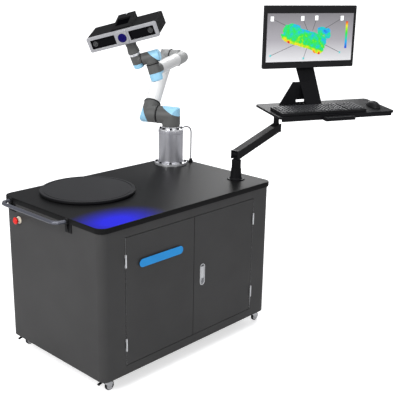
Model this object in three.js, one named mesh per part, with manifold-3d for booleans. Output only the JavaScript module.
// A robotic three-dimensional scanning workstation.
// A steel cabinet on castors carries a turntable, a six-axis robot arm on a pedestal that holds the
// scanning head, and a swivelling support arm with a keyboard tray and a monitor.
// Millimetres, +X along the doors to the right, +Y to the back, +Z up.
import * as THREE from 'three';
import { mergeVertices } from 'three/addons/utils/BufferGeometryUtils.js';
import Module from 'manifold-3d';

const wasm = await Module();
wasm.setup();

// Clearances, and the overrun by which a cutting tool passes the faces that it cuts
const fit = { seat: 0.3, running: 0.5, overrun: 4, weld: 1 };
// Facets of a full circle
const facets = { disc: 44, barrel: 24, round: 18, small: 12, pin: 8 };

const castor = {
  height: 75, inset: 50, plateSide: 70, plateThickness: 6, headRadius: 23, headHeight: 7,
  wheelRadius: 25, wheelWidth: 20, trail: 22, axleRadius: 4, treadRound: 4,
  legThickness: 3, legWidth: 17, crownThickness: 4, pedalLength: 24, pedalWidth: 15, pedalThickness: 4,
  hubGap: 1.2,
};
const cabinet = {
  width: 1200, depth: 766, height: 746, cornerRadius: 40, wall: 2, floorThickness: 2,
  sillHeight: 46, headHeight: 44, sideWidth: 139, jambDepth: 24, topFlange: 26,
  ventColumns: 7, ventRows: 2, ventWidth: 10, ventHeight: 90, ventPitchX: 30, ventPitchZ: 120,
  ventFromLeft: 190, ventFromFloor: 150,
};
const frame = { inset: 14, tube: 40 };
const door = { gap: 3, depth: 18, skin: 2, fromFace: 0 };
const hinge = {
  barrelRadius: 4.2, pinRadius: 2.2, length: 64, knuckle: 16, web: 3, upperFromHead: 116, lowerFromSill: 112,
};
const latch = {
  fromSplit: 63, centreHeight: 447, width: 36, height: 118, plateProud: 2.5, pocketDepth: 14,
  rim: 4, paddleThickness: 3, paddleHeightShare: 0.52, pinRadius: 2,
};
const table = { thickness: 28.5, overhang: 9, cornerRadius: 49, edgeRound: 5 };
const handle = {
  tubeRadius: 9.5, standoff: 62, nearY: 235, farY: 695, bendRadius: 45, belowTop: 15,
  socketRadius: 16, socketDepth: 10, steps: 24, plateThickness: 4, plateWidth: 46, plateHeight: 58, strutThickness: 5,
};
const stop = {
  y: 642, z: 741, plateRadius: 19, plateThickness: 5, collarRadius: 14, collarHeight: 9,
  bodyRadius: 12, bodyDepth: 46, stemRadius: 6, headRadius: 18, headHeight: 13, headRise: 5, travel: 4, bore: 7,
};
const turntable = {
  x: 334, y: 513, radius: 246, above: 18, thickness: 14, rimWidth: 16, grooveDepth: 1.5, grooveWidth: 4,
  edgeRound: 2.5, hubRadius: 52, spindleRadius: 14,
};
const drive = {
  holeRadius: 60, clearance: 1, flangeRadius: 88, flangeThickness: 8, bodyDepth: 84, motorSide: 86, motorDepth: 96,
};
const pedestal = {
  x: 1075, y: 658, height: 204, radius: 72, bore: 64, flangeRadius: 97, flangeThickness: 13, fillet: 5,
  topRadius: 74, topThickness: 14, neckInset: 2, neckHeight: 4, topPlate: 14,
};
// The robot's barrels: inlet and outlet are lengths from where the two axes of a casting cross
const robot = {
  yaw: 23.4, baseRadius: 70, baseThickness: 8, baseNeckRadius: 52, shoulderHeight: 84.5,
  shoulderRadius: 54, shoulderInlet: 63, shoulderOutlet: 76, shoulderReach: 140,
  lean: 40.8, armLength: 403, armRadius: 51, armCollar: 73, armCollarRadius: 48, upperTubeRadius: 44.5,
  elbowRadius: 49, elbowCollar: 60, elbowCollarRadius: 44.5, elbowOffset: 84.7, elbowSeam: 30,
  bend: 135.5, foreLength: 381, foreCollar: 62, foreTubeRadius: 37, foreCollarRadius: 39,
  clocking: 16.1, wristRadius: 36, wristTail: 62, wristCollar: 44, wristRise: 75.6, wristSeam: 34,
  wristTurn: 10.6, wristTwoTail: 56, wristTwoReach: 81.3, wristTwoSeam: 48,
  toolRadius: 33, toolTail: 42, toolTurn: 15, toolSeam: 34, headTurn: 4.8,
  flangeRadius: 31.5, flangeThickness: 16, flangeNeck: 27,
  ringStep: 2.5, ringHeight: 9, tubeWall: 4, capGap: 0.6, capTilt: 27, wideTilt: 50, squareTilt: 90,
  capRiseShare: 0.42, tailRoundShare: 0.42, tailFaceShare: 0.7, cornerShare: 1.27, mateGap: 1.2, seamGap: 0.6, collarLip: 5, outletStep: 3.5,
};
const scanner = {
  width: 414, depth: 170, height: 78, wall: 5, corner: 7, frontToAxis: 82,
  adapterRadius: 34, adapterLength: 88, adapterPlate: 10, adapterPlateSide: 96, adapterWaist: 29,
  coverWidth: 122, coverRise: 15, coverTaper: 9, coverDepth: 150, recessWidth: 78, recessDepth: 46, recessSink: 6,
  bezelHeight: 84, bezelThickness: 16, bezelRound: 8, windowWidth: 146, windowHeight: 52, windowFromCentre: 116,
  windowSink: 11, panelWidth: 64, panelRise: 4, panelTaper: 6, lensRadius: 21, lensRimRadius: 25,
  lensRise: 5, lensPocket: 10, baseline: 330, cameraRadius: 16, cameraLength: 30, cameraBarrel: 11, glassSink: 3,
};
const cable = { radius: 4, reach: 129, bend: 38, steps: 30, sides: 6 };
const gland = { radius: 11, height: 12, nutRadius: 14, nutHeight: 6, bore: 6, depth: 24, shankRadius: 9 };
const plug = { radius: 9, length: 22, height: 12 };
const post = {
  x: 1090, y: 156, plateRadius: 49, plateThickness: 5, sleeveRadius: 32, sleeveTopRadius: 28, sleeveHeight: 62,
  spindleRadius: 15, spindleDepth: 46, swivelRadius: 26, neckRadius: 20, pivotHeight: 140, collarGap: 4,
};
const arm = {
  azimuth: 4.8, rise: 13.4, length: 397, width: 46, height: 48, wall: 3.5, pinRadius: 6, tongueWidth: 37,
  tongueRadius: 19, neckWidth: 26, clevis: 44, endReach: 22,
};
const tray = {
  yaw: -24, width: 776, depth: 310, thickness: 12, corner: 22, axisFromLeft: 79, axisFromFront: 182, tilt: 5,
  neckRadius: 16, neckTop: 82, spindleRadius: 12, spindleLength: 20, bossRadius: 34, bossHeight: 17, bossRise: 6,
  fasciaDrop: 15, fasciaThickness: 14, lipFromLeft: 281, lipWidth: 198, lipDepth: 40, lipThickness: 20, lipDrop: 15,
};
const upright = {
  footFromLeft: 286, footWidth: 106, topFromLeft: 261, topWidth: 119, thickness: 7, footFromFront: 198,
  topFromFront: 300, leanTop: 230, footLength: 46, headRise: 24,
  bracketFromLeft: 136, bracketTopFromLeft: 222, bracketTopWidth: 46, bracketEndFromLeft: 330, bracketFromFront: 258,
  bracketHeight: 132, windowFromLeft: 246, windowWidth: 58, windowHeight: 15, windowUp: 12,
  slotFromLeft: 243, slotWidth: 26, slotHeight: 52, slotUp: 40, slotSink: 4, bridge: 40,
};
const monitor = {
  width: 605, height: 355, depth: 42, screenWidth: 573, screenHeight: 274, centreRise: 416, corner: 6, centreFromLeft: 301,
  bezelStep: 2, screenThickness: 3, backRound: 10, backTaper: 16, plateSide: 110, plateThickness: 8,
  headRadius: 13, headWidth: 60, centreShift: -3, headGap: 1,
};
const keyboard = {
  width: 560, depth: 158, height: 17, corner: 9, fromLeft: 30, fromFront: 20, edge: 11, wellDepth: 3, numbersWidth: 118,
  wellGap: 12,
};
const mouse = { length: 118, width: 68, height: 34, fromRight: 74, fromFront: 118 };
const controller = { width: 430, depth: 330, height: 300, corner: 10, fromLeft: 640, fromBack: 60, footRadius: 14, footHeight: 9 };
const computer = { width: 190, depth: 430, height: 440, corner: 8, fromLeft: 200, fromBack: 60, footHeight: 9, footRadius: 12 };
const inlet = { width: 60, height: 44, depth: 22, flange: 3, flangeRim: 8, fromRight: 150, fromFloor: 70, pocket: 14 };

// Levels and places that follow from the sizes above
const floorTop = castor.height + cabinet.sillHeight;
const tableUnder = castor.height + cabinet.height;
const tableTop = tableUnder + table.thickness;
const openingLeft = cabinet.sideWidth;
const openingRight = cabinet.width - cabinet.sideWidth;
const openingTop = tableUnder - cabinet.headHeight;
const middle = cabinet.width / 2;
const half = 0.5;

const degrees = THREE.MathUtils.degToRad;
const quarter = Math.PI / 2;

function finish(color, roughness, metalness) {
  return new THREE.MeshStandardMaterial({ color, roughness, metalness });
}
const finishes = {
  cabinetPaint: finish('#4c4b4c', 0.5, 0.3),
  tablePaint: finish('#2b2b2d', 0.45, 0.1),
  blackSteel: finish('#17171a', 0.5, 0.4),
  handlePaint: finish('#5b5b59', 0.45, 0.4),
  satinSteel: finish('#b4b5b8', 0.3, 0.9),
  zinc: finish('#c9cbce', 0.35, 0.9),
  tyre: finish('#1b1b1c', 0.8, 0),
  pedal: finish('#c7c9c8', 0.6, 0),
  casting: finish('#62635f', 0.55, 0.2),
  capBlue: finish('#8fc9ec', 0.5, 0),
  armTube: finish('#dedfdd', 0.4, 0.2),
  scannerShell: finish('#2c2c2e', 0.5, 0.1),
  bezel: finish('#d5d4da', 0.4, 0.3),
  lens: finish('#171447', 0.1, 0.1),
  glass: finish('#08080a', 0.08, 0.1),
  plastic: finish('#232325', 0.6, 0),
  red: finish('#d8151c', 0.4, 0),
  collar: finish('#e8dccb', 0.5, 0),
  cord: finish('#85868a', 0.6, 0),
  screen: finish('#c6cbd0', 0.2, 0),
};

// A closed geometry made ready for cutting: vertices merged, only positions kept, slivers dropped
function weld(geometry) {
  const bare = geometry.clone();
  bare.deleteAttribute('normal');
  bare.deleteAttribute('uv');
  const merged = mergeVertices(bare, 1e-4);
  const kept = [];
  const index = merged.index.array;
  for (let i = 0; i < index.length; i += 3) {
    const [a, b, c] = [index[i], index[i + 1], index[i + 2]];
    if (a !== b && b !== c && c !== a) kept.push(a, b, c);
  }
  merged.setIndex(kept);
  return merged;
}

function solidOf(geometry) {
  const ready = geometry.userData.welded ? geometry : weld(geometry);
  return new wasm.Manifold(new wasm.Mesh({
    numProp: 3,
    vertProperties: new Float32Array(ready.attributes.position.array),
    triVerts: new Uint32Array(ready.index.array),
  }));
}

function geometryOf(solid) {
  const mesh = solid.getMesh();
  const geometry = new THREE.BufferGeometry();
  geometry.setAttribute('position', new THREE.BufferAttribute(new Float32Array(mesh.vertProperties), 3));
  geometry.setIndex(Array.from(mesh.triVerts));
  geometry.userData.welded = true;
  return geometry;
}

function join(...geometries) {
  return geometryOf(geometries.map(solidOf).reduce((sum, next) => sum.add(next)));
}
function cut(body, ...tools) {
  return geometryOf(tools.map(solidOf).reduce((rest, tool) => rest.subtract(tool), solidOf(body)));
}
function common(one, other) {
  return geometryOf(solidOf(one).intersect(solidOf(other)));
}

// Moves a geometry: first the turns about x, y and z, then the shift
function placed(geometry, shift, turns = [0, 0, 0]) {
  const matrix = new THREE.Matrix4().makeRotationFromEuler(new THREE.Euler(...turns, 'ZYX'));
  matrix.setPosition(...shift);
  const copy = geometry.clone();
  copy.userData.welded = geometry.userData.welded;
  return copy.applyMatrix4(matrix);
}

function block([x0, x1], [y0, y1], [z0, z1]) {
  const box = new THREE.BoxGeometry(x1 - x0, y1 - y0, z1 - z0);
  return box.translate((x0 + x1) / 2, (y0 + y1) / 2, (z0 + z1) / 2);
}

// A shape of the x-y plane raised from z0 to z1, with its arrises rounded when round is given
function prism(shape, z0, z1, round = 0, curveSegments = 4, bevelSegments = 2) {
  const options = { depth: z1 - z0 - 2 * round, curveSegments, bevelEnabled: round > 0 };
  if (round > 0) Object.assign(options, { bevelThickness: round, bevelSize: round, bevelOffset: -round, bevelSegments });
  return new THREE.ExtrudeGeometry(shape, options).translate(0, 0, z0 + round);
}

// A revolved profile of [radius, height] points about the z axis
function revolved(profile, count) {
  const points = profile.map(([radius, height]) => new THREE.Vector2(radius, height));
  return new THREE.LatheGeometry(points, count).rotateX(quarter);
}
function drum(radius, z0, z1, count = facets.barrel) {
  return revolved([[0, z0], [radius, z0], [radius, z1], [0, z1]], count);
}
function drumAlongX(radius, x0, x1, count = facets.small) {
  return placed(drum(radius, x0, x1, count), [0, 0, 0], [0, quarter, 0]);
}
function drumAlongY(radius, y0, y1, count = facets.small) {
  return placed(drum(radius, y0, y1, count), [0, 0, 0], [-quarter, 0, 0]);
}

function roundedRect(x0, x1, y0, y1, radius) {
  const shape = new THREE.Shape();
  shape.moveTo(x0 + radius, y0);
  shape.lineTo(x1 - radius, y0);
  shape.absarc(x1 - radius, y0 + radius, radius, -quarter, 0, false);
  shape.lineTo(x1, y1 - radius);
  shape.absarc(x1 - radius, y1 - radius, radius, 0, quarter, false);
  shape.lineTo(x0 + radius, y1);
  shape.absarc(x0 + radius, y1 - radius, radius, quarter, 2 * quarter, false);
  shape.lineTo(x0, y0 + radius);
  shape.absarc(x0 + radius, y0 + radius, radius, 2 * quarter, 3 * quarter, false);
  return shape;
}
function polygon(points) {
  return new THREE.Shape(points.map(([x, y]) => new THREE.Vector2(x, y)));
}
// An upright oval: two half circles joined by straight sides
function oval(width, height) {
  const radius = width / 2;
  const rise = height / 2 - radius;
  const shape = new THREE.Shape();
  shape.absarc(0, rise, radius, 0, 2 * quarter, false);
  shape.absarc(0, -rise, radius, 2 * quarter, 4 * quarter, false);
  return shape;
}

// A group whose z axis is the given axis and whose y axis is the given heading, both in its parent's frame
function turned(name, origin, axis, heading) {
  const group = new THREE.Group();
  group.name = name;
  const z = new THREE.Vector3(...axis).normalize();
  const y = new THREE.Vector3(...heading).normalize();
  const x = new THREE.Vector3().crossVectors(y, z);
  group.quaternion.setFromRotationMatrix(new THREE.Matrix4().makeBasis(x, y, z));
  group.position.set(...origin);
  return group;
}
// A geometry drawn square to the parent, expressed in the turned group's own axes
function turnedBack(geometry, group) {
  const copy = geometry.clone().applyQuaternion(group.quaternion.clone().invert());
  copy.userData.welded = geometry.userData.welded;
  return copy;
}
function joint(name, origin) {
  const group = new THREE.Group();
  group.name = name;
  group.position.set(...origin);
  return group;
}
function piece(name, geometry, material) {
  const ready = geometry.userData.welded ? geometry : weld(geometry);
  ready.computeVertexNormals();
  const mesh = new THREE.Mesh(ready, material);
  mesh.name = name;
  return mesh;
}

// Castors

const castorPlaces = [
  ['front_left', castor.inset, castor.inset],
  ['front_right', cabinet.width - castor.inset, castor.inset],
  ['back_left', castor.inset, cabinet.depth - castor.inset],
  ['back_right', cabinet.width - castor.inset, cabinet.depth - castor.inset],
];
const crownTop = castor.height - castor.plateThickness - fit.running;
const crownUnder = crownTop - castor.headHeight - castor.crownThickness;

// Swivel head, bent fork, axle and brake pedal of one castor; the swivel axis is the z axis
function castorFork() {
  const innerHalf = castor.wheelWidth / 2 + castor.hubGap;
  const outerHalf = innerHalf + castor.legThickness;
  const head = drum(castor.headRadius, crownTop - castor.headHeight, crownTop, facets.round);
  const legShape = polygon([
    [-castor.headRadius, crownTop - castor.headHeight],
    [-castor.headRadius, crownUnder],
    [castor.trail - castor.legWidth / 2, castor.wheelRadius - castor.axleRadius],
    [castor.trail, castor.wheelRadius - castor.axleRadius * 2],
    [castor.trail + castor.legWidth / 2, castor.wheelRadius],
    [castor.headRadius, crownUnder],
    [castor.headRadius, crownTop - castor.headHeight],
  ]);
  const yoke = placed(prism(legShape, -outerHalf, outerHalf), [0, 0, 0], [quarter, 0, 0]);
  const throat = block(
    [-castor.headRadius - fit.overrun, castor.trail + castor.wheelRadius],
    [-innerHalf, innerHalf],
    [-fit.overrun, crownUnder],
  );
  const axle = placed(drumAlongY(castor.axleRadius, -outerHalf - castor.hubGap, outerHalf + castor.hubGap, facets.pin),
    [castor.trail, 0, castor.wheelRadius]);
  const pedalShape = polygon([
    [-castor.headRadius + castor.legThickness, crownUnder + castor.crownThickness],
    [-castor.headRadius - castor.pedalLength, crownUnder - castor.legThickness],
    [-castor.headRadius - castor.pedalLength, crownUnder - castor.legThickness - castor.pedalThickness],
    [-castor.headRadius + castor.legThickness, crownUnder],
  ]);
  const pedal = placed(prism(pedalShape, -castor.pedalWidth / 2, castor.pedalWidth / 2), [0, 0, 0], [quarter, 0, 0]);
  return join(cut(yoke, throat), head, axle, pedal);
}
function castorWheel() {
  const side = castor.wheelWidth / 2;
  const bore = castor.axleRadius + fit.running;
  const tread = castor.wheelRadius;
  const round = castor.treadRound;
  const hub = castor.axleRadius * 2;
  const profile = [
    [bore, -side], [hub, -side], [hub + round, -side + round / 2], [tread - round, -side + round / 2],
    [tread, -side + round], [tread, side - round], [tread - round, side - round / 2],
    [hub + round, side - round / 2], [hub, side], [bore, side], [bore, -side],
  ];
  return revolved(profile, facets.round);
}

// Cabinet

const hingeLevels = {
  upper: openingTop - hinge.upperFromHead,
  lower: floorTop + hinge.lowerFromSill,
};
const hingeSides = { left: openingLeft + door.gap / 2, right: openingRight - door.gap / 2 };
const hingeY = -hinge.barrelRadius - fit.seat;

function cabinetWalls() {
  const inner = (inset) => roundedRect(
    inset, cabinet.width - inset, inset, cabinet.depth - inset,
    Math.max(cabinet.cornerRadius - inset, cabinet.wall),
  );
  const top = tableUnder - fit.seat;
  const shell = prism(inner(0), castor.height, top);
  const room = prism(inner(cabinet.wall), floorTop, top - cabinet.wall);
  const hatch = prism(inner(cabinet.topFlange), top - cabinet.wall - fit.overrun, top + fit.overrun);
  const skirt = prism(inner(cabinet.wall), castor.height - fit.overrun, floorTop - cabinet.floorThickness);
  const jambs = block(
    [openingLeft - cabinet.wall, openingRight + cabinet.wall],
    [cabinet.wall / 2, cabinet.jambDepth],
    [floorTop - cabinet.floorThickness / 2, openingTop + cabinet.wall],
  );
  const opening = block(
    [openingLeft, openingRight],
    [-fit.overrun, cabinet.jambDepth + fit.overrun],
    [floorTop, openingTop],
  );
  return cut(join(cut(shell, room, hatch, skirt), jambs), opening, ...vents(), inletHole());
}

// Slots in the back wall that let the controller breathe
function vents() {
  const slots = [];
  const back = cabinet.depth - cabinet.wall;
  for (let column = 0; column < cabinet.ventColumns; column += 1) {
    for (let row = 0; row < cabinet.ventRows; row += 1) {
      const x = cabinet.width - cabinet.ventFromLeft - column * cabinet.ventPitchX;
      const z = floorTop + cabinet.ventFromFloor + row * cabinet.ventPitchZ;
      slots.push(block(
        [x - cabinet.ventWidth / 2, x + cabinet.ventWidth / 2],
        [back - fit.overrun, cabinet.depth + fit.overrun],
        [z - cabinet.ventHeight / 2, z + cabinet.ventHeight / 2],
      ));
    }
  }
  return slots;
}

// The frame's share of one hinge: two knuckles, the pin between them and the web to the front wall
function fixedKnuckles(x, towards, z) {
  const end = hinge.length / 2;
  const webFrom = x - towards * hinge.barrelRadius;
  const webTo = x - towards * (door.gap / 2 + fit.seat);
  const parts = [placed(drum(hinge.pinRadius, -end, end, facets.pin), [x, hingeY, z])];
  for (const side of [-1, 1]) {
    const low = Math.min(side * end, side * (end - hinge.knuckle));
    parts.push(placed(drum(hinge.barrelRadius, low, low + hinge.knuckle, facets.small), [x, hingeY, z]));
    parts.push(block(
      [Math.min(webFrom, webTo), Math.max(webFrom, webTo)],
      [hingeY, cabinet.wall / 2],
      [z + low, z + low + hinge.knuckle],
    ));
  }
  return parts;
}
function cabinetCarcass() {
  const knuckles = [];
  for (const z of Object.values(hingeLevels)) {
    knuckles.push(...fixedKnuckles(hingeSides.left, 1, z), ...fixedKnuckles(hingeSides.right, -1, z));
  }
  return join(cabinetWalls(), ...knuckles);
}

// Welded tubes inside the skirt, with the four plates that the castors turn on
function baseFrame() {
  const low = castor.height;
  const high = floorTop - cabinet.floorThickness - fit.seat;
  const x0 = frame.inset;
  const x1 = cabinet.width - frame.inset;
  const y0 = frame.inset;
  const y1 = cabinet.depth - frame.inset;
  const ring = block([x0, x1], [y0, y1], [low, high]);
  const bays = [];
  const bayEnds = [x0, middle - frame.tube / 2, middle + frame.tube / 2, x1];
  bays.push(block([bayEnds[0] + frame.tube, bayEnds[1]], [y0 + frame.tube, y1 - frame.tube],
    [low - fit.overrun, high + fit.overrun]));
  bays.push(block([bayEnds[2], bayEnds[3] - frame.tube], [y0 + frame.tube, y1 - frame.tube],
    [low - fit.overrun, high + fit.overrun]));
  const plates = castorPlaces.map(([, x, y]) => block(
    [x - castor.plateSide / 2, x + castor.plateSide / 2],
    [y - castor.plateSide / 2, y + castor.plateSide / 2],
    [castor.height - castor.plateThickness, castor.height + fit.weld],
  ));
  return join(cut(ring, ...bays), ...plates);
}

// Doors

const doorWidth = (openingRight - openingLeft - 3 * door.gap) / 2;
const doorLow = floorTop + door.gap;
const doorHigh = openingTop - door.gap;

// A pressed door pan and its middle knuckles; side is -1 for the left door and 1 for the right
function doorPan(side) {
  const outer = side < 0 ? openingLeft + door.gap : openingRight - door.gap;
  const inner = outer - side * doorWidth;
  const span = [Math.min(outer, inner), Math.max(outer, inner)];
  const pan = block(span, [door.fromFace, door.fromFace + door.depth], [doorLow, doorHigh]);
  const hollow = block(
    [span[0] + door.skin, span[1] - door.skin],
    [door.fromFace + door.skin, door.fromFace + door.depth + fit.overrun],
    [doorLow + door.skin, doorHigh - door.skin],
  );
  const axis = side < 0 ? hingeSides.left : hingeSides.right;
  const reach = hinge.length / 2 - hinge.knuckle - fit.seat;
  let body = cut(pan, hollow);
  for (const z of Object.values(hingeLevels)) {
    const barrel = placed(drum(hinge.barrelRadius, -reach, reach, facets.small), [axis, hingeY, z]);
    const webTo = axis - side * (hinge.barrelRadius + hinge.web / 2);
    const webFrom = axis - side * (door.gap / 2 + fit.seat);
    const web = block([Math.min(webFrom, webTo), Math.max(webFrom, webTo)], [hingeY, door.skin / 2], [z - reach, z + reach]);
    const bore = placed(
      drum(hinge.pinRadius + fit.seat, -hinge.length, hinge.length, facets.pin), [axis, hingeY, z]);
    body = cut(join(body, barrel, web), bore);
  }
  return body;
}

const latchX = middle + latch.fromSplit;
// Ears stand an oval up in the door's plane: its y becomes z, and the extrusion runs from y0 back to y1
function uprightOval(width, height, y0, y1) {
  return placed(prism(oval(width, height), -y1, -y0, 0, facets.small / 2), [latchX, 0, latch.centreHeight], [quarter, 0, 0]);
}
function rightDoorPan() {
  const hole = uprightOval(latch.width - latch.rim, latch.height - latch.rim, -fit.overrun, door.skin + fit.overrun);
  return cut(doorPan(1), hole);
}
function latchHousing() {
  const hole = latch.rim / 2 + fit.seat;
  const face = uprightOval(latch.width, latch.height, -latch.plateProud, -fit.seat);
  const well = uprightOval(latch.width - 2 * hole, latch.height - 2 * hole, -fit.weld, latch.pocketDepth);
  const pocket = uprightOval(latch.width - 2 * hole - 2 * door.skin, latch.height - 2 * hole - 2 * door.skin,
    -latch.plateProud - fit.overrun, latch.pocketDepth - door.skin);
  const pin = placed(drumAlongX(latch.pinRadius, -latch.width / 2 + hole + fit.weld, latch.width / 2 - hole - fit.weld, facets.pin),
    [latchX, latchPivotY, latchPivotZ]);
  return join(cut(join(face, well), pocket), pin);
}
const paddleHeight = latch.height * latch.paddleHeightShare;
const latchPivotZ = latch.centreHeight + latch.height / 2 - latch.width / 2;
const latchPivotY = latch.pinRadius * 2;
function latchPaddle() {
  const wide = latch.width / 2 - latch.rim - door.skin;
  const y0 = latchPivotY - latch.pinRadius - fit.running - latch.paddleThickness;
  const plate = block(
    [latchX - wide, latchX + wide],
    [y0, y0 + latch.paddleThickness],
    [latchPivotZ - paddleHeight, latchPivotZ + latch.pinRadius],
  );
  const eye = placed(drumAlongX(latch.pinRadius * 2, -wide, wide, facets.small), [latchX, latchPivotY, latchPivotZ]);
  const bore = placed(drumAlongX(latch.pinRadius + fit.seat, -latch.width, latch.width, facets.pin),
    [latchX, latchPivotY, latchPivotZ]);
  return placed(cut(join(plate, eye), bore), [-latchX, -latchPivotY, -latchPivotZ]);
}

// Tabletop, turntable, push handle and stop button

const glandAt = (() => {
  const heading = cableHeading();
  return [pedestal.x + cable.reach * heading[0], pedestal.y + cable.reach * heading[1]];
})();
function cableHeading() {
  const angle = degrees(robot.yaw);
  return [Math.cos(-angle), Math.sin(-angle)];
}
function tableTopSlab() {
  const o = table.overhang;
  const outline = roundedRect(-o, cabinet.width + o, -o, cabinet.depth + o, table.cornerRadius);
  const slab = prism(outline, tableUnder, tableTop, table.edgeRound, 5, 2);
  const spindle = placed(drum(drive.holeRadius, tableUnder - fit.overrun, tableTop + fit.overrun), [turntable.x, turntable.y, 0]);
  const cord = placed(drum(gland.shankRadius + fit.seat, tableUnder - fit.overrun, tableTop + fit.overrun, facets.small),
    [...glandAt, 0]);
  return cut(slab, spindle, cord);
}
function turntablePlatter() {
  const top = tableTop + turntable.above;
  const low = top - turntable.thickness;
  const r = turntable.radius;
  const e = turntable.edgeRound;
  const groove = r - turntable.rimWidth;
  const hub = tableTop + fit.running;
  const profile = [
    [0, hub], [turntable.hubRadius, hub], [turntable.hubRadius, low], [r - e, low], [r, low + e], [r, top - e], [r - e, top],
    [groove, top], [groove, top - turntable.grooveDepth],
    [groove - turntable.grooveWidth, top - turntable.grooveDepth], [groove - turntable.grooveWidth, top], [0, top],
  ];
  return revolved(profile, facets.disc);
}
function turntableDrive() {
  const under = tableUnder - fit.seat;
  const low = under - drive.bodyDepth;
  const body = drive.holeRadius - drive.clearance;
  const gearbox = revolved([
    [0, low], [body, low], [body, under - drive.flangeThickness], [drive.flangeRadius, under - drive.flangeThickness],
    [drive.flangeRadius, under], [body, under], [body, tableTop], [0, tableTop],
  ], facets.barrel);
  const side = drive.motorSide / 2;
  const motor = block([-side, side], [-side, side], [low - drive.motorDepth, low + fit.weld]);
  return placed(join(gearbox, motor), [turntable.x, turntable.y, 0]);
}
// A bent tube whose two ends run into black sockets, each stiffened by a gusset on the cabinet's side
function pushHandle() {
  const edge = -table.overhang - fit.seat;
  const z = tableTop - handle.belowTop;
  const out = edge - handle.standoff;
  const bend = handle.bendRadius;
  const route = new THREE.CurvePath();
  const at = (x, y) => new THREE.Vector3(x, y, z);
  route.add(new THREE.LineCurve3(at(edge, handle.nearY), at(out + bend, handle.nearY)));
  route.add(new THREE.QuadraticBezierCurve3(
    at(out + bend, handle.nearY), at(out, handle.nearY), at(out, handle.nearY + bend)));
  route.add(new THREE.LineCurve3(at(out, handle.nearY + bend), at(out, handle.farY - bend)));
  route.add(new THREE.QuadraticBezierCurve3(
    at(out, handle.farY - bend), at(out, handle.farY), at(out + bend, handle.farY)));
  route.add(new THREE.LineCurve3(at(out + bend, handle.farY), at(edge, handle.farY)));
  const section = new THREE.Shape().absarc(0, 0, handle.tubeRadius, 0, 4 * quarter, false);
  const tube = new THREE.ExtrudeGeometry(section, { extrudePath: route, steps: handle.steps, curveSegments: facets.pin / 2, bevelEnabled: false });
  const fixings = [];
  const wallFace = -fit.seat;
  for (const y of [handle.nearY, handle.farY]) {
    fixings.push(placed(drumAlongX(handle.socketRadius, edge - handle.socketDepth, edge, facets.small), [0, y, z]));
    const low = z - handle.plateHeight;
    fixings.push(block(
      [wallFace - handle.plateThickness, wallFace],
      [y - handle.plateWidth / 2, y + handle.plateWidth / 2],
      [low, tableUnder - fit.seat],
    ));
    const gusset = polygon([
      [wallFace, low], [wallFace - handle.plateThickness, low],
      [edge - handle.socketDepth, z - handle.tubeRadius / 2], [edge, z + handle.tubeRadius / 2],
      [edge, tableUnder - fit.seat], [wallFace, tableUnder - fit.seat],
    ]);
    fixings.push(placed(prism(gusset, -handle.strutThickness / 2, handle.strutThickness / 2), [0, y, 0], [quarter, 0, 0]));
  }
  return join(tube, ...fixings);
}
// Stop button pieces lie along -X from the cabinet's side; the body passes a hole that it fills
function stopHousing() {
  const profile = [
    [stop.bore, -stop.plateThickness - stop.collarHeight - fit.seat], [stop.collarRadius, -stop.plateThickness - stop.collarHeight],
    [stop.collarRadius, -stop.plateThickness], [stop.plateRadius, -stop.plateThickness], [stop.plateRadius, -fit.seat],
    [stop.bore, -fit.seat], [stop.bore, -stop.plateThickness - stop.collarHeight - fit.seat],
  ];
  const ring = profile.map(([r, z]) => [r, -z]).reverse();
  return placed(revolved(ring, facets.round), [0, stop.y, stop.z], [0, -quarter, 0]);
}
function stopButton() {
  const face = stop.plateThickness + stop.collarHeight + stop.travel + fit.seat;
  const profile = [
    [0, fit.running + stop.travel], [stop.stemRadius, fit.running + stop.travel], [stop.stemRadius, face],
    [stop.headRadius - stop.headRise / 2, face], [stop.headRadius, face + stop.headRise],
    [stop.headRadius, face + stop.headHeight - stop.headRise], [stop.headRadius - stop.headRise, face + stop.headHeight - fit.weld],
    [0, face + stop.headHeight],
  ];
  return placed(revolved(profile, facets.round), [0, stop.y, stop.z], [0, -quarter, 0]);
}

function inletHole() {
  const x = cabinet.width - inlet.fromRight;
  const z = floorTop + inlet.fromFloor;
  return block([x - inlet.width / 2, x + inlet.width / 2],
    [cabinet.depth - cabinet.wall - fit.overrun, cabinet.depth + fit.overrun],
    [z - inlet.height / 2, z + inlet.height / 2]);
}
function powerInlet() {
  const x = cabinet.width - inlet.fromRight;
  const z = floorTop + inlet.fromFloor;
  const wide = inlet.width / 2 - fit.seat;
  const tall = inlet.height / 2 - fit.seat;
  const rim = inlet.flangeRim;
  const back = cabinet.depth + fit.seat;
  const shape = (inset) => roundedRect(-wide + inset, wide - inset, -tall + inset, tall - inset, rim / 2);
  const body = prism(shape(0), -inlet.flange - fit.weld, inlet.depth);
  const face = prism(shape(-rim), -inlet.flange, 0);
  const pocket = prism(shape(rim), -inlet.flange - fit.overrun, inlet.pocket);
  return placed(cut(join(body, face), pocket), [x, back, z], [quarter, 0, 0]);
}

// Boxes inside the cabinet

function electronicsBox(size, x, y) {
  const low = floorTop + fit.seat;
  const body = placed(prism(roundedRect(0, size.width, 0, size.depth, size.corner), low + size.footHeight, low + size.footHeight + size.height),
    [x, y, 0]);
  const feet = [];
  for (const fx of [2 * size.footRadius, size.width - 2 * size.footRadius]) {
    for (const fy of [2 * size.footRadius, size.depth - 2 * size.footRadius]) {
      feet.push(placed(drum(size.footRadius, low, low + size.footHeight + fit.weld, facets.pin), [x + fx, y + fy, 0]));
    }
  }
  return join(body, ...feet);
}

// Pedestal and robot

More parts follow.
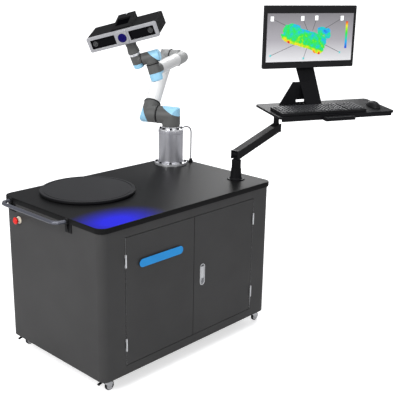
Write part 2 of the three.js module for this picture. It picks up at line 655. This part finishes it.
function pedestalColumn() {
  const p = pedestal;
  const top = p.height;
  const neck = top - p.topThickness;
  return revolved([
    [p.bore, fit.seat], [p.flangeRadius, fit.seat], [p.flangeRadius, p.flangeThickness], [p.radius + p.fillet, p.flangeThickness],
    [p.radius, p.flangeThickness + p.fillet], [p.radius, neck - p.neckHeight], [p.radius - p.neckInset, neck - p.neckHeight],
    [p.radius - p.neckInset, neck], [p.topRadius, neck], [p.topRadius, top], [0, top], [0, top - p.topPlate],
    [p.bore, top - p.topPlate], [p.bore, fit.seat],
  ], facets.barrel + facets.pin);
}
function robotBase() {
  const seamAt = robot.shoulderHeight - robot.shoulderInlet - robot.seamGap;
  const disc = revolved([
    [0, fit.seat], [robot.baseRadius, fit.seat], [robot.baseRadius, robot.baseThickness],
    [robot.baseNeckRadius, robot.baseThickness + robot.ringStep], [robot.baseNeckRadius, seamAt], [0, seamAt],
  ], facets.barrel);
  const outlet = placed(drumAlongX(plug.radius, robot.baseRadius / 2, robot.baseRadius + plug.length / 2, facets.small),
    [0, 0, plug.height], [0, 0, 0]);
  return join(disc, placed(outlet, [0, 0, 0], [0, 0, -degrees(robot.yaw)]));
}

// One casting of the arm. The inlet barrel rises along z to the crossing at the origin, after a dark
// recessed ring; the outlet barrel leaves along +y. Behind the crossing the outlet barrel ends in a
// rounded tail, and a slanted cap covers that corner: tilt 0 caps the top, 90 degrees caps the tail.
function casting({ radius, inlet: rise, outletRadius, outlet, tail, tilt, ring = true, mate = outletRadius }) {
  const step = robot.ringStep;
  const ringTop = -rise + robot.ringHeight;
  const inletBarrel = ring
    ? revolved([[0, -rise], [radius - step, -rise], [radius - step, ringTop], [radius, ringTop + step / 2], [radius, 0], [0, 0]],
      facets.barrel)
    : drum(radius, -rise, 0);
  const outletBarrel = revolved([
    [0, 0], [outletRadius, 0], [outletRadius, outlet - robot.collarLip], [outletRadius - step / 2, outlet], [0, outlet],
  ], facets.barrel);
  const corner = tail === undefined ? mitredCorner(radius, outletRadius) : roundedTail(outletRadius, tail);
  const body = join(inletBarrel, placed(outletBarrel, [0, 0, 0], [-quarter, 0, 0]), corner);
  const offset = radius * robot.capRiseShare;
  const far = 4 * radius + (tail ?? radius);
  const above = (from) => placed(block([-far, far], [-far, far], [from, from + far]), [0, 0, 0], [degrees(tilt), 0, 0]);
  const lift = robot.capGap / 2;
  const neighbour = drumAlongY(mate + robot.mateGap, outlet, outlet + far, facets.barrel);
  return {
    housing: cut(body, above(offset - lift), neighbour),
    cap: common(body, above(offset + lift)),
  };
}
// Where both barrels run on past the crossing, what they share, rounded by a ball
function mitredCorner(radius, outletRadius) {
  const wide = Math.max(radius, outletRadius);
  const ball = new THREE.SphereGeometry(wide * robot.cornerShare, 20, 12);
  const upward = drum(radius, -fit.weld, wide);
  const backward = drumAlongY(outletRadius, -wide, fit.weld, facets.barrel);
  return common(common(upward, backward), ball);
}
function roundedTail(radius, tail) {
  const round = radius * robot.tailRoundShare;
  const face = radius * robot.tailFaceShare;
  const shoulder = face + (radius - face) * (half + half * half);
  return placed(revolved([
    [0, -tail], [face, -tail], [shoulder, -tail + round * half * half], [radius, -tail + round], [radius, fit.weld], [0, fit.weld],
  ], facets.barrel), [0, 0, 0], [-quarter, 0, 0]);
}
function tube(radius, low, high) {
  return drum(radius, low, high);
}
// A flange on the outlet of the last casting, with a neck on which the scanner's adapter seats
function toolFlange() {
  const start = robot.seamGap;
  const end = start + robot.flangeThickness;
  return revolved([
    [0, start], [robot.flangeNeck, start], [robot.flangeNeck, start + robot.ringStep], [robot.flangeRadius, start + robot.ringStep],
    [robot.flangeRadius, end - robot.ringStep / 2], [robot.flangeRadius - robot.ringStep / 2, end], [0, end],
  ], facets.barrel);
}

// Scanning head: x across, y to the front, z up through the head; the adapter lies on the z axis

const adapterLow = robot.flangeThickness + robot.seamGap + fit.seat;
const headLow = adapterLow + scanner.adapterLength;
const frontY = scanner.frontToAxis;
const shellFront = frontY - scanner.bezelThickness;
const backY = frontY - scanner.depth;
const bezelLow = headLow + scanner.height - scanner.bezelHeight;
const bezelMiddle = bezelLow + scanner.bezelHeight / 2;

function scannerAdapter() {
  const plate = headLow - fit.seat - scanner.adapterPlate;
  const waist = (adapterLow + plate) / 2;
  const stem = revolved([
    [0, adapterLow], [scanner.adapterRadius, adapterLow], [scanner.adapterRadius, adapterLow + scanner.adapterPlate],
    [scanner.adapterWaist, waist], [scanner.adapterRadius, plate + fit.weld], [0, plate + fit.weld],
  ], facets.round);
  const side = scanner.adapterPlateSide / 2;
  const pad = prism(roundedRect(-side, side, -side, side, scanner.corner), plate, headLow - fit.seat);
  return join(stem, pad);
}
// Rounded in the x-z plane and run along y from the back to the front
function runAlongY(shape, y0, y1, round = 0) {
  return placed(prism(shape, -y1, -y0, round, 3, 2), [0, 0, 0], [quarter, 0, 0]);
}
function scannerShell() {
  const w = scanner.width / 2;
  const low = headLow;
  const high = headLow + scanner.height;
  const wall = scanner.wall;
  const outside = runAlongY(roundedRect(-w, w, low, high, scanner.corner), backY, shellFront - fit.seat);
  const inside = runAlongY(roundedRect(-w + wall, w - wall, low + wall, high - wall, scanner.corner - wall / 2),
    backY + wall, shellFront + fit.overrun);
  const c = scanner.coverWidth / 2;
  const t = scanner.coverTaper;
  const rise = scanner.coverRise;
  const cover = runAlongY(polygon([[-c, high - fit.weld], [c, high - fit.weld], [c - t, high + rise], [-c + t, high + rise]]),
    backY, backY + scanner.coverDepth);
  const r = scanner.recessWidth / 2;
  const recessBack = backY + (scanner.coverDepth - scanner.recessDepth) / 2;
  const recess = block([-r, r], [recessBack, recessBack + scanner.recessDepth], [high + rise - scanner.recessSink, high + rise + fit.overrun]);
  return cut(join(cut(outside, inside), cover), recess);
}
function windowBlock(side, inset, y0, y1) {
  const w = scanner.windowWidth / 2 - inset;
  const h = scanner.windowHeight / 2 - inset;
  const x = side * scanner.windowFromCentre;
  return block([x - w, x + w], [y0, y1], [bezelMiddle - h, bezelMiddle + h]);
}
function scannerBezel() {
  const w = scanner.width / 2;
  const plate = runAlongY(
    roundedRect(-w, w, bezelLow, bezelLow + scanner.bezelHeight, scanner.bezelRound), shellFront, frontY, fit.weld);
  const p = scanner.panelWidth / 2;
  const t = scanner.panelTaper;
  const half0 = scanner.bezelHeight / 2 - t;
  const panel = runAlongY(roundedRect(-p, p, bezelMiddle - half0, bezelMiddle + half0, t), frontY - fit.weld, frontY + scanner.panelRise, fit.weld);
  const pocket = placed(drumAlongY(scanner.lensRadius, frontY - scanner.lensPocket, frontY + fit.overrun * 2, facets.round), [0, 0, bezelMiddle]);
  const cuts = [-1, 1].map((side) => windowBlock(side, 0, frontY - scanner.windowSink, frontY + fit.overrun));
  const eyes = [-1, 1].map((side) => placed(
    drumAlongY(scanner.cameraRadius + fit.seat, shellFront - fit.overrun, frontY + fit.overrun, facets.round),
    [side * scanner.baseline / 2, 0, bezelMiddle]));
  return cut(join(plate, panel), pocket, ...cuts, ...eyes);
}
function projectorLens() {
  const y0 = frontY - scanner.lensPocket + fit.seat;
  const rim = scanner.lensRimRadius;
  const face = frontY + scanner.panelRise + fit.seat;
  const r = scanner.lensRadius - fit.seat;
  const profile = [
    [0, y0], [r, y0], [r, face], [rim, face], [rim, face + scanner.lensRise / 2], [rim - scanner.lensRise / 2, face + scanner.lensRise],
    [r - scanner.lensRise, face + scanner.lensRise], [r - scanner.lensRise * 2, face + scanner.lensRise / 2], [0, face + scanner.lensRise],
  ];
  return placed(revolved(profile, facets.round), [0, 0, bezelMiddle], [-quarter, 0, 0]);
}
function cameraModule(side) {
  const r = scanner.cameraRadius;
  const front = frontY - scanner.glassSink;
  const back = front - scanner.cameraLength;
  const profile = [
    [0, back], [r, back], [r, front - scanner.glassSink], [r - scanner.glassSink / 2, front],
    [scanner.cameraBarrel, front], [scanner.cameraBarrel - scanner.glassSink, front - scanner.glassSink], [0, front - scanner.glassSink / 2],
  ];
  return placed(revolved(profile, facets.round), [side * scanner.baseline / 2, 0, bezelMiddle], [-quarter, 0, 0]);
}

// The robot's cord leaves the base sideways, bends down and enters the gland in the tabletop

function robotCable() {
  const [hx, hy] = cableHeading();
  const from = robot.baseRadius + plug.length / 2 + fit.seat;
  const start = tableTop + pedestal.height + plug.height;
  const end = tableTop + gland.height + gland.nutHeight + fit.seat;
  const at = (out, z) => new THREE.Vector3(pedestal.x + out * hx, pedestal.y + out * hy, z);
  const route = new THREE.CurvePath();
  const turn = cable.reach - cable.bend;
  route.add(new THREE.LineCurve3(at(from, start), at(turn, start)));
  route.add(new THREE.QuadraticBezierCurve3(at(turn, start), at(cable.reach, start), at(cable.reach, start - cable.bend)));
  route.add(new THREE.LineCurve3(at(cable.reach, start - cable.bend), at(cable.reach, end)));
  const section = new THREE.Shape().absarc(0, 0, cable.radius, 0, 4 * quarter, false);
  return new THREE.ExtrudeGeometry(section, {
    extrudePath: route, steps: cable.steps, curveSegments: cable.sides / 2, bevelEnabled: false,
  });
}
function cableGland() {
  const base = tableTop + fit.seat;
  const top = base + gland.height + gland.nutHeight - fit.seat;
  return placed(revolved([
    [gland.bore, tableTop - gland.depth], [gland.shankRadius, tableTop - gland.depth], [gland.shankRadius, base],
    [gland.nutRadius, base], [gland.nutRadius, base + gland.nutHeight], [gland.radius, base + gland.nutHeight],
    [gland.radius - fit.weld, top], [gland.bore - fit.weld, top], [gland.bore - fit.weld, top - fit.weld],
    [gland.bore, top - fit.weld], [gland.bore, tableTop - gland.depth],
  ], facets.small), [...glandAt, 0]);
}

// Support arm

function postBase() {
  const p = post;
  return revolved([
    [p.spindleRadius + fit.running, p.sleeveHeight - p.spindleDepth - fit.running],
    [p.spindleRadius + fit.running, p.sleeveHeight], [p.sleeveTopRadius, p.sleeveHeight],
    [p.sleeveRadius, p.plateThickness * 2], [p.sleeveRadius + p.plateThickness, p.plateThickness],
    [p.plateRadius, p.plateThickness], [p.plateRadius, fit.seat], [0, fit.seat],
    [0, p.sleeveHeight - p.spindleDepth - fit.running],
    [p.spindleRadius + fit.running, p.sleeveHeight - p.spindleDepth - fit.running],
  ].reverse(), facets.round);
}
// A round tongue between the arm's cheeks, with the pivot pin through it; the pivot is the origin, the arm runs along x
function tongue(neckFrom, neckTo) {
  const w = arm.tongueWidth / 2;
  const n = arm.neckWidth / 2;
  const disc = drumAlongY(arm.tongueRadius, -w, w, facets.round);
  const pin = drumAlongY(arm.pinRadius, -arm.width / 2 + fit.seat, arm.width / 2 - fit.seat, facets.small);
  return join(disc, pin, block([-n, n], [-n, n], [neckFrom, neckTo]));
}
function monitorPost() {
  const p = post;
  const sleeveTop = p.sleeveHeight - p.pivotHeight;
  const collarTop = -arm.height / 2 - p.collarGap;
  const spindle = drum(p.spindleRadius, sleeveTop - p.spindleDepth, sleeveTop + p.collarGap, facets.round);
  const collar = revolved([
    [0, sleeveTop + fit.seat], [p.swivelRadius, sleeveTop + fit.seat], [p.swivelRadius, collarTop - p.collarGap],
    [p.neckRadius, collarTop], [0, collarTop],
  ], facets.round);
  return join(tongue(collarTop - fit.weld, 0), spindle, collar);
}
// A pressed channel, open below, its top cut back where the tray's neck comes through
function supportArm() {
  const rise = degrees(arm.rise);
  const run = arm.length * Math.cos(rise);
  const lift = arm.length * Math.sin(rise);
  const h = arm.height / 2;
  const side = (under, over, end) => polygon([
    [-end, under], [0, under], [run, lift + under], [run + end, lift + under],
    [run + end, lift + over], [run, lift + over], [0, over], [-end, over],
  ]);
  const skin = placed(prism(side(-h, h, arm.endReach), -arm.width / 2, arm.width / 2), [0, 0, 0], [quarter, 0, 0]);
  const inside = arm.width / 2 - arm.wall;
  const room = placed(prism(side(-h - fit.overrun, h - arm.wall, arm.endReach + fit.overrun), -inside, inside),
    [0, 0, 0], [quarter, 0, 0]);
  const mouth = block([run - arm.clevis, run + arm.clevis], [-inside, inside], [lift - h, lift + h + fit.overrun]);
  const bore = (x, z) => placed(drumAlongY(arm.pinRadius + fit.seat, -arm.width, arm.width, facets.small), [x, 0, z]);
  return cut(skin, room, mouth, bore(0, 0), bore(run, lift));
}
function trayKnuckle() {
  const neck = drum(tray.neckRadius, arm.height / 2 + arm.wall, tray.neckTop, facets.round);
  const pin = drum(tray.spindleRadius, tray.neckTop - fit.weld, tray.neckTop + tray.spindleLength, facets.round);
  return join(tongue(0, arm.height / 2 + arm.wall + fit.weld), neck, pin);
}

// Tray: the origin is the swivel axis, x to the right along the tray, y to its back

const trayLeft = -tray.axisFromLeft;
const trayFront = -tray.axisFromFront;
const trayBack = trayFront + tray.depth;
const trayLean = degrees(tray.tilt);
const bossUnder = -tray.bossHeight;

function keyboardTray() {
  const right = trayLeft + tray.width;
  const plate = prism(roundedRect(trayLeft, right, trayFront, trayBack, tray.corner), 0, tray.thickness);
  const inset = tray.corner;
  const fascia = block([trayLeft + inset, right - inset], [trayFront, trayFront + tray.fasciaThickness],
    [-tray.fasciaDrop, tray.thickness / 2]);
  const lipLeft = trayLeft + tray.lipFromLeft;
  const lip = prism(
    roundedRect(lipLeft, lipLeft + tray.lipWidth, trayFront - tray.lipDepth, trayFront + tray.fasciaThickness, tray.fasciaThickness / 2),
    -tray.lipDrop, tray.lipThickness - tray.lipDrop);
  return join(plate, fascia, lip);
}
// The boss stays square to the swivel axis and the plate leans back on it
function trayWithBoss() {
  const boss = drum(tray.bossRadius, bossUnder, tray.bossRise, facets.round);
  const leant = placed(keyboardTray(), [0, 0, 0], [trayLean, 0, 0]);
  const socket = drum(tray.spindleRadius + fit.running, bossUnder - fit.overrun, bossUnder + tray.spindleLength + fit.running,
    facets.round);
  return cut(join(boss, leant), socket);
}
// Height of the leaning tray's top face at a distance y behind the swivel axis
function trayTopAt(y) {
  return tray.thickness / Math.cos(trayLean) + y * Math.tan(trayLean);
}

// The mast leans back from its foot and then stands upright behind the monitor; a side bracket steadies it
const headZ = monitor.centreRise;
const mastTopY = trayFront + upright.topFromFront;
const mastFootY = trayFront + upright.footFromFront;
const tiltY = mastTopY - monitor.headRadius - fit.weld;
const tiltX = trayLeft + monitor.centreFromLeft;

function monitorUpright() {
  const u = upright;
  const t = u.thickness;
  const top = headZ + u.headRise;
  const x = (fromLeft) => trayLeft + fromLeft;
  const low = trayTopAt(mastFootY + u.footLength) + fit.seat * 2;
  const profile = polygon([
    [mastFootY, low], [mastFootY + t, low], [mastTopY + t, u.leanTop], [mastTopY + t, top], [mastTopY, top], [mastTopY, u.leanTop],
  ]);
  const left = Math.min(u.footFromLeft, u.topFromLeft);
  const right = Math.max(u.footFromLeft + u.footWidth, u.topFromLeft + u.topWidth);
  const bent = placed(prism(profile, x(left), x(right)), [0, 0, 0], [quarter, 0, quarter]);
  const face = runAlongY(polygon([
    [x(u.footFromLeft), low - fit.overrun], [x(u.footFromLeft + u.footWidth), low - fit.overrun],
    [x(u.topFromLeft + u.topWidth), u.leanTop], [x(u.topFromLeft + u.topWidth), top + fit.overrun],
    [x(u.topFromLeft), top + fit.overrun], [x(u.topFromLeft), u.leanTop],
  ]), mastFootY - t, mastTopY + 2 * t);
  const mast = common(bent, face);
  const bracketY = trayFront + u.bracketFromFront;
  const surface = trayTopAt(bracketY + t) + fit.seat * 2;
  const bracket = runAlongY(polygon([
    [x(u.bracketFromLeft), surface], [x(u.bracketEndFromLeft), surface], [x(u.bracketEndFromLeft), surface + u.bracketHeight],
    [x(u.bracketTopFromLeft), surface + u.bracketHeight],
  ]), bracketY, bracketY + t);
  const window = block([x(u.windowFromLeft), x(u.windowFromLeft + u.windowWidth)], [bracketY - fit.overrun, bracketY + t + fit.overrun],
    [surface + u.windowUp, surface + u.windowUp + u.windowHeight]);
  const slot = block([x(u.slotFromLeft), x(u.slotFromLeft + u.slotWidth)], [bracketY - fit.overrun, bracketY + u.slotSink],
    [surface + u.slotUp, surface + u.slotUp + u.slotHeight]);
  const foot = placed(block([x(u.footFromLeft), x(u.footFromLeft + u.footWidth)], [0, bracketY + t - mastFootY], [fit.seat, t]),
    [0, mastFootY, trayTopAt(mastFootY)], [trayLean, 0, 0]);
  const pinHalf = monitor.headWidth / 2;
  const ears = [-1, 1].map((side) => {
    const at = tiltX + side * (pinHalf - t / 2);
    return join(
      placed(drumAlongX(monitor.headRadius, -t / 2, t / 2), [at, tiltY, headZ]),
      block([at - t / 2, at + t / 2], [tiltY, mastTopY + fit.weld], [headZ - monitor.headRadius, headZ + monitor.headRadius]),
    );
  });
  const pin = placed(drumAlongX(monitor.headRadius / 2, fit.weld - pinHalf, pinHalf - fit.weld), [tiltX, tiltY, headZ]);
  return join(mast, cut(bracket, window, slot), foot, ...ears, pin);
}

// Monitor: the origin is the tilt pin, x across, y to the back; the screen faces -y
const monitorBack = -monitor.headRadius - monitor.headGap;
const monitorFront = monitorBack - monitor.plateThickness - monitor.depth;

function monitorHousing() {
  const w = monitor.width / 2;
  const h = monitor.height / 2;
  const body = runAlongY(roundedRect(-w, w, -h, h, monitor.corner), monitorFront, monitorFront + monitor.depth / 2);
  const tub = placed(prism(
    roundedRect(-w + monitor.backTaper, w - monitor.backTaper, -h + monitor.backTaper, h - monitor.backTaper,
      2 * monitor.backRound),
    0, monitor.depth / 2 + fit.weld, monitor.backRound, 3, 2), [0, monitorFront + monitor.depth, 0], [quarter, 0, 0]);
  const side = monitor.plateSide / 2;
  const plate = block([-side, side], [monitorFront + monitor.depth - fit.weld, monitorBack], [-side, side]);
  const lugWidth = monitor.headWidth / 2 - upright.thickness - fit.running;
  const lug = join(
    drumAlongX(monitor.headRadius, -lugWidth, lugWidth, facets.small),
    block([-lugWidth, lugWidth], [monitorBack - fit.weld, 0], [-monitor.headRadius, monitor.headRadius]),
  );
  const bore = drumAlongX(monitor.headRadius / 2 + fit.seat, -monitor.headWidth, monitor.headWidth, facets.small);
  const pocket = screenBlock(0, monitorFront - fit.overrun, monitorFront + monitor.bezelStep + monitor.screenThickness);
  return cut(join(body, tub, plate, lug), bore, pocket);
}
function screenBlock(inset, y0, y1) {
  const w = monitor.screenWidth / 2 - inset;
  const h = monitor.screenHeight / 2 - inset;
  return block([-w, w], [y0, y1], [monitor.centreShift - h, monitor.centreShift + h]);
}
function screenPanel() {
  const face = monitorFront + monitor.bezelStep;
  return screenBlock(fit.seat, face, face + monitor.screenThickness - fit.seat);
}

// Keyboard with wells that its keys stand in, and the mouse
function keyboardBody() {
  const k = keyboard;
  const base = prism(roundedRect(0, k.width, 0, k.depth, k.corner), 0, k.height);
  const well = (x0, x1) => block([x0, x1], [k.edge, k.depth - k.edge], [k.height - k.wellDepth, k.height + fit.overrun]);
  const numbers = k.width - k.edge - k.numbersWidth;
  return cut(base, well(k.edge, numbers - k.wellGap), well(numbers, k.width - k.edge));
}
function mouseBody() {
  const dome = new THREE.SphereGeometry(1, 18, 12).scale(mouse.width / 2, mouse.length / 2, mouse.height);
  const floor = block([-mouse.width, mouse.width], [-mouse.length, mouse.length], [-mouse.height * 2, 0]);
  return cut(dome, floor);
}

// Assembly

const workstation = new THREE.Group();

workstation.add(
  piece('cabinet_carcass', cabinetCarcass(), finishes.cabinetPaint),
  piece('base_frame', baseFrame(), finishes.blackSteel),
  piece('table_top', tableTopSlab(), finishes.tablePaint),
  piece('push_handle', pushHandle(), finishes.handlePaint),
  piece('stop_housing', stopHousing(), finishes.collar),
  piece('turntable_drive', turntableDrive(), finishes.blackSteel),
  piece('power_inlet', powerInlet(), finishes.plastic),
  piece('robot_controller', electronicsBox(controller, controller.fromLeft, cabinet.depth - controller.fromBack - controller.depth),
    finishes.plastic),
  piece('workstation_computer', electronicsBox(computer, computer.fromLeft, cabinet.depth - computer.fromBack - computer.depth),
    finishes.plastic),
  piece('cable_gland', cableGland(), finishes.plastic),
);

const stopGroup = joint('stop_press', [0, 0, 0]);
stopGroup.add(piece('stop_button', stopButton(), finishes.red));
workstation.add(stopGroup);

for (const [name, x, y] of castorPlaces) {
  const swivel = joint(`${name}_castor_swivel`, [x, y, 0]);
  swivel.add(piece(`${name}_castor_fork`, castorFork(), finishes.zinc));
  const spin = turned(`${name}_castor_spin`, [castor.trail, 0, castor.wheelRadius], [0, 1, 0], [0, 0, 1]);
  spin.add(piece(`${name}_castor_wheel`, castorWheel(), finishes.tyre));
  swivel.add(spin);
  workstation.add(swivel);
}

const leftHinge = joint('left_door_hinge', [hingeSides.left, hingeY, 0]);
leftHinge.add(piece('left_door', placed(doorPan(-1), [-hingeSides.left, -hingeY, 0]), finishes.cabinetPaint));
const rightHinge = joint('right_door_hinge', [hingeSides.right, hingeY, 0]);
const toRightHinge = [-hingeSides.right, -hingeY, 0];
rightHinge.add(
  piece('right_door', placed(rightDoorPan(), toRightHinge), finishes.cabinetPaint),
  piece('door_latch_housing', placed(latchHousing(), toRightHinge), finishes.satinSteel),
);
const paddlePivot = turned('door_latch_lift', [latchX - hingeSides.right, latchPivotY - hingeY, latchPivotZ], [1, 0, 0], [0, 1, 0]);
paddlePivot.add(piece('door_latch_paddle', turnedBack(latchPaddle(), paddlePivot), finishes.satinSteel));
rightHinge.add(paddlePivot);
workstation.add(leftHinge, rightHinge);

const platterSpin = joint('turntable_spin', [turntable.x, turntable.y, 0]);
platterSpin.add(piece('turntable_platter', turntablePlatter(), finishes.tablePaint));
workstation.add(platterSpin);

// The arm: every joint group turns about its own z axis
const pedestalGroup = joint('pedestal', [pedestal.x, pedestal.y, tableTop]);
pedestalGroup.add(piece('pedestal_column', pedestalColumn(), finishes.satinSteel));
const robotGroup = joint('robot', [0, 0, pedestal.height]);
robotGroup.add(piece('robot_base', robotBase(), finishes.satinSteel));
pedestalGroup.add(robotGroup);
workstation.add(pedestalGroup, piece('robot_cable', robotCable(), finishes.cord));

const yaw = degrees(robot.yaw);
const shoulderTurn = turned('robot_base_turn', [0, 0, robot.shoulderHeight], [0, 0, 1], [-Math.sin(yaw), Math.cos(yaw), 0]);
const shoulder = casting({
  radius: robot.shoulderRadius, inlet: robot.shoulderInlet, outletRadius: robot.shoulderRadius - robot.outletStep / 2,
  outlet: robot.shoulderOutlet, tilt: robot.capTilt,
});
shoulderTurn.add(
  piece('shoulder_housing', shoulder.housing, finishes.casting),
  piece('shoulder_cap', shoulder.cap, finishes.capBlue),
);
robotGroup.add(shoulderTurn);

const lean = degrees(robot.lean);
const upperTurn = turned('robot_shoulder_turn', [0, robot.shoulderReach, 0], [0, 1, 0], [Math.sin(lean), 0, Math.cos(lean)]);
const upperLow = casting({
  radius: robot.armRadius, inlet: robot.shoulderReach - robot.shoulderOutlet - robot.seamGap,
  outletRadius: robot.armCollarRadius, outlet: robot.armCollar, tilt: robot.capTilt,
});
const upperHigh = casting({
  radius: robot.elbowCollarRadius, inlet: robot.elbowCollar, outletRadius: robot.elbowRadius,
  outlet: robot.elbowSeam, tilt: robot.capTilt * 2, ring: false,
});
upperTurn.add(
  piece('upper_arm_lower_housing', upperLow.housing, finishes.casting),
  piece('upper_arm_lower_cap', upperLow.cap, finishes.capBlue),
  piece('upper_arm_tube', placed(tube(robot.upperTubeRadius, robot.armCollar + fit.seat,
    robot.armLength - robot.elbowCollar - fit.seat), [0, 0, 0], [-quarter, 0, 0]), finishes.armTube),
);
const upperEnd = turned('upper_arm_end', [0, robot.armLength, 0], [0, 1, 0], [0, 0, -1]);
upperEnd.add(
  piece('upper_arm_elbow_housing', upperHigh.housing, finishes.casting),
  piece('upper_arm_elbow_cap', upperHigh.cap, finishes.capBlue),
);
upperTurn.add(upperEnd);
shoulderTurn.add(upperTurn);

const bend = degrees(robot.bend);
const elbowTurn = turned('robot_elbow_turn', [0, robot.armLength, -robot.elbowOffset], [0, 0, -1],
  [Math.sin(bend), Math.cos(bend), 0]);
const foreElbow = casting({
  radius: robot.elbowRadius, inlet: robot.elbowOffset - robot.elbowSeam - robot.seamGap,
  outletRadius: robot.foreCollarRadius, outlet: robot.foreCollar, tilt: robot.squareTilt - robot.capTilt,
});
elbowTurn.add(
  piece('forearm_elbow_housing', foreElbow.housing, finishes.casting),
  piece('forearm_elbow_cap', foreElbow.cap, finishes.capBlue),
  piece('forearm_tube', placed(tube(robot.foreTubeRadius, robot.foreCollar + fit.seat,
    robot.foreLength - robot.wristCollar - fit.seat), [0, 0, 0], [-quarter, 0, 0]), finishes.armTube),
);
upperTurn.add(elbowTurn);

const clock = degrees(robot.clocking);
const wristOneGroup = turned('wrist_one', [0, robot.foreLength, 0], [0, 1, 0], [Math.cos(clock), 0, -Math.sin(clock)]);
const wristOne = casting({
  radius: robot.wristRadius + robot.outletStep, inlet: robot.wristCollar, outletRadius: robot.wristRadius,
  outlet: robot.wristSeam, tail: robot.wristTail, tilt: robot.squareTilt, ring: false,
});
wristOneGroup.add(
  piece('wrist_1_housing', wristOne.housing, finishes.casting),
  piece('wrist_1_cap', wristOne.cap, finishes.capBlue),
);
elbowTurn.add(wristOneGroup);

const wristTurn = degrees(robot.wristTurn);
const wristTwoTurn = turned('robot_wrist_1_turn', [0, robot.wristRise, 0], [0, 1, 0],
  [-Math.cos(wristTurn), 0, Math.sin(wristTurn)]);
const wristTwo = casting({
  radius: robot.wristRadius, inlet: robot.wristRise - robot.wristSeam - robot.seamGap, outletRadius: robot.wristRadius - robot.outletStep / 2,
  outlet: robot.wristTwoSeam, tail: robot.wristTwoTail, tilt: robot.wideTilt,
});
wristTwoTurn.add(
  piece('wrist_2_housing', wristTwo.housing, finishes.casting),
  piece('wrist_2_cap', wristTwo.cap, finishes.capBlue),
);
wristOneGroup.add(wristTwoTurn);

const toolTurn = degrees(robot.toolTurn);
const wristThreeTurn = turned('robot_wrist_2_turn', [0, robot.wristTwoReach, 0], [0, 1, 0],
  [-Math.sin(toolTurn), 0, Math.cos(toolTurn)]);
const wristThree = casting({
  radius: robot.toolRadius, inlet: robot.wristTwoReach - robot.wristTwoSeam - robot.seamGap, outletRadius: robot.toolRadius - robot.outletStep / 2,
  outlet: robot.toolSeam, tail: robot.toolTail, tilt: robot.squareTilt,
});
wristThreeTurn.add(
  piece('wrist_3_housing', wristThree.housing, finishes.casting),
  piece('wrist_3_cap', wristThree.cap, finishes.capBlue),
);
wristTwoTurn.add(wristThreeTurn);

const headTurn = degrees(robot.headTurn);
const flangeTurn = turned('robot_wrist_3_turn', [0, robot.toolSeam, 0], [0, 1, 0], [Math.cos(headTurn), 0, Math.sin(headTurn)]);
flangeTurn.add(
  piece('tool_flange', toolFlange(), finishes.satinSteel),
  piece('scanner_adapter', scannerAdapter(), finishes.casting),
  piece('scanner_shell', scannerShell(), finishes.scannerShell),
  piece('scanner_bezel', scannerBezel(), finishes.bezel),
  piece('projector_lens', projectorLens(), finishes.lens),
  piece('left_camera', cameraModule(1), finishes.glass),
  piece('right_camera', cameraModule(-1), finishes.glass),
);
wristThreeTurn.add(flangeTurn);

// The support arm: the post turns in its sleeve, the arm lifts, and the knuckle keeps the tray level
const postGroup = joint('post', [post.x, post.y, tableTop]);
postGroup.add(piece('monitor_post_base', postBase(), finishes.blackSteel));
workstation.add(postGroup);
const azimuth = degrees(arm.azimuth);
const postTurn = joint('post_swivel', [0, 0, post.pivotHeight]);
postTurn.rotation.z = azimuth;
postTurn.add(piece('monitor_post', monitorPost(), finishes.blackSteel));
postGroup.add(postTurn);
const armTurn = joint('support_arm_lift', [0, 0, 0]);
armTurn.add(piece('support_arm', supportArm(), finishes.blackSteel));
postTurn.add(armTurn);
const rise = degrees(arm.rise);
const knuckleTurn = joint('tray_levelling', [arm.length * Math.cos(rise), 0, arm.length * Math.sin(rise)]);
knuckleTurn.add(piece('tray_knuckle', trayKnuckle(), finishes.blackSteel));
armTurn.add(knuckleTurn);
const trayLift = tray.neckTop + fit.seat + tray.bossHeight;
const trayTurn = joint('tray_swivel', [0, 0, trayLift]);
trayTurn.rotation.z = degrees(tray.yaw) - azimuth;
trayTurn.add(
  piece('keyboard_tray', trayWithBoss(), finishes.blackSteel),
  piece('monitor_upright', monitorUpright(), finishes.blackSteel),
);
const keyboardPiece = piece('keyboard', keyboardBody(), finishes.plastic);
keyboardPiece.rotation.x = trayLean;
const keyboardY = trayFront + keyboard.fromFront;
keyboardPiece.position.set(
  trayLeft + keyboard.fromLeft,
  keyboardY * Math.cos(trayLean) - (tray.thickness + fit.seat) * Math.sin(trayLean),
  keyboardY * Math.sin(trayLean) + (tray.thickness + fit.seat) * Math.cos(trayLean),
);
const mousePiece = piece('mouse', mouseBody(), finishes.plastic);
mousePiece.rotation.x = trayLean;
const mouseY = trayFront + mouse.fromFront;
const padTop = tray.thickness + fit.seat;
mousePiece.position.set(
  trayLeft + tray.width - mouse.fromRight,
  mouseY * Math.cos(trayLean) - padTop * Math.sin(trayLean),
  mouseY * Math.sin(trayLean) + padTop * Math.cos(trayLean),
);
trayTurn.add(keyboardPiece, mousePiece);
knuckleTurn.add(trayTurn);
const monitorTilt = joint('monitor_tilt', [tiltX, tiltY, headZ]);
monitorTilt.add(
  piece('monitor_housing', monitorHousing(), finishes.plastic),
  piece('screen_panel', screenPanel(), finishes.screen),
);
trayTurn.add(monitorTilt);

// The origin is the middle of the whole box at floor level, measured without the free cord
function standingBox(group) {
  group.updateMatrixWorld(true);
  const box = new THREE.Box3();
  group.traverse((node) => {
    if (node.isMesh && node.name !== 'robot_cable') box.expandByObject(node, true);
  });
  return box;
}
const box = standingBox(workstation);
const scanStation = new THREE.Group();
workstation.position.set(-(box.min.x + box.max.x) / 2, -(box.min.y + box.max.y) / 2, -box.min.z);
scanStation.add(workstation);

export default scanStation;
